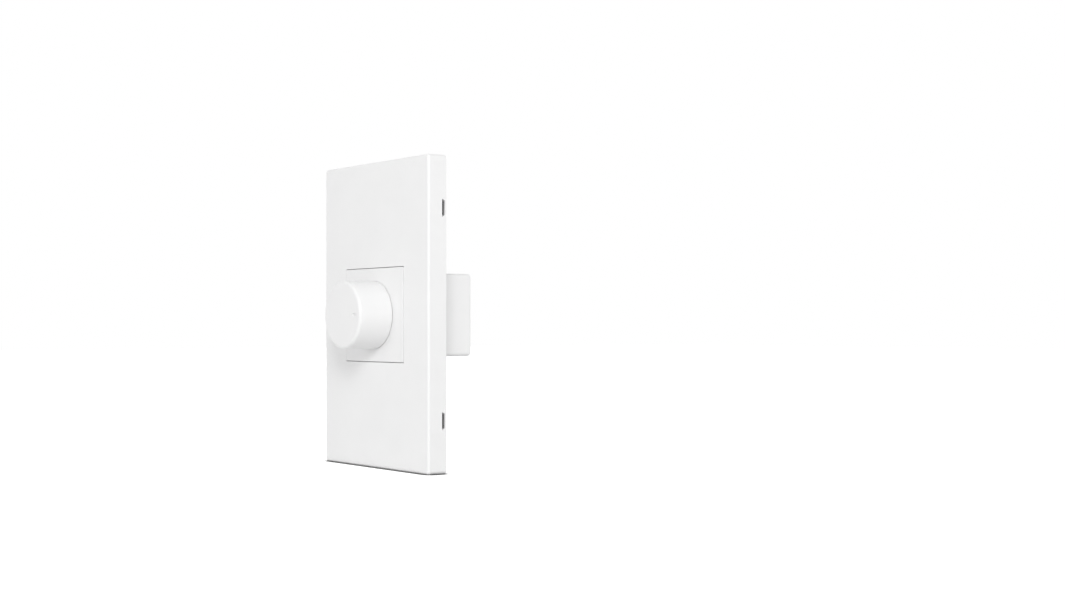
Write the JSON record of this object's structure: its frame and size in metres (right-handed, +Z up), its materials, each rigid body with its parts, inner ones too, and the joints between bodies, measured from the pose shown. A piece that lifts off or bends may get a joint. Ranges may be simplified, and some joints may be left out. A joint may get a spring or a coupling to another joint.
{
  "type": "dimmer switch",
  "caption": "Rotary wall dimmer: tall cover plate, snap-in module with a round push-on knob, rotate-off switch and rear screw terminals.",
  "frame": {"origin": "centre of the wall plane, on which the cover plate's rim and the mounting frame lie, on the knob's axis", "axes": "+Z up along the plate's length, +X to the right as seen from the front, +Y into the wall; the front faces -Y"},
  "size_m": [0.074, 0.0486, 0.12],
  "materials": {
    "plate_plastic": "satin moulded thermoplastic, white",
    "fascia_plastic": "satin moulded thermoplastic, white",
    "knob_plastic": "satin moulded thermoplastic, white",
    "housing_plastic": "satin moulded thermoplastic, white",
    "frame_plastic": "fine-textured moulded nylon, near black",
    "rotor_plastic": "natural acetal",
    "switch_plastic": "moulded phenolic, dark",
    "steel": "zinc plated",
    "shaft_metal": "turned and nickel plated",
    "brass": "stamped, bright",
    "spring_bronze": "rolled strip",
    "tinned_metal": "tinned",
    "board": "phenolic paper laminate",
    "track_board": "printed laminate",
    "epoxy": "moulded epoxy, black",
    "aluminium": "folded sheet, plain",
    "ferrite": "painted iron powder core",
    "copper_wire": "enamelled copper",
    "film_box": "filled plastic box",
    "resistor_coat": "coated film body with tinned leads",
    "diode_body": "painted glass body with tinned leads"
  },
  "bodies": {
    "base": {"cover_plate": "plate_plastic", "mounting_frame": "frame_plastic", "module_fascia": "fascia_plastic", "module_housing": "housing_plastic", "pot_bushing": "shaft_metal", "pot_washer": "steel", "pot_nut": "shaft_metal", "pot_can": "steel", "pot_track": "track_board", "pot_terminals": "tinned_metal", "switch_body": "switch_plastic", "switch_spring": "spring_bronze", "switch_terminals": "brass", "circuit_board": "board", "triac_case": "epoxy", "triac_leadframe": "tinned_metal", "heat_sink": "aluminium", "heat_sink_screw": "steel", "heat_sink_nut": "steel", "choke_core": "ferrite", "choke_winding": "copper_wire", "filter_capacitor": "film_box", "timing_capacitor": "film_box", "resistors": "resistor_coat", "diac": "diode_body", "terminal_cages": "brass", "terminal_screws": "steel"},
    "rotor": {"knob": "knob_plastic", "knob_spring": "steel", "pot_shaft": "shaft_metal", "pot_rotor": "rotor_plastic", "pot_wiper": "spring_bronze"},
    "lever": {"switch_lever": "rotor_plastic", "switch_contact": "spring_bronze"}
  },
  "joints": [
    {"name": "knob_turn", "type": "hinge", "parent": "base", "child": "rotor", "pos_m": [0, 0, 0], "axis": [0, 1, 0], "range_deg": [-240, 60]},
    {"name": "switch_throw", "type": "hinge", "parent": "base", "child": "lever", "pos_m": [0, 0, 0.0044], "axis": [0, 1, 0], "range_deg": [0, 30]}
  ]
}
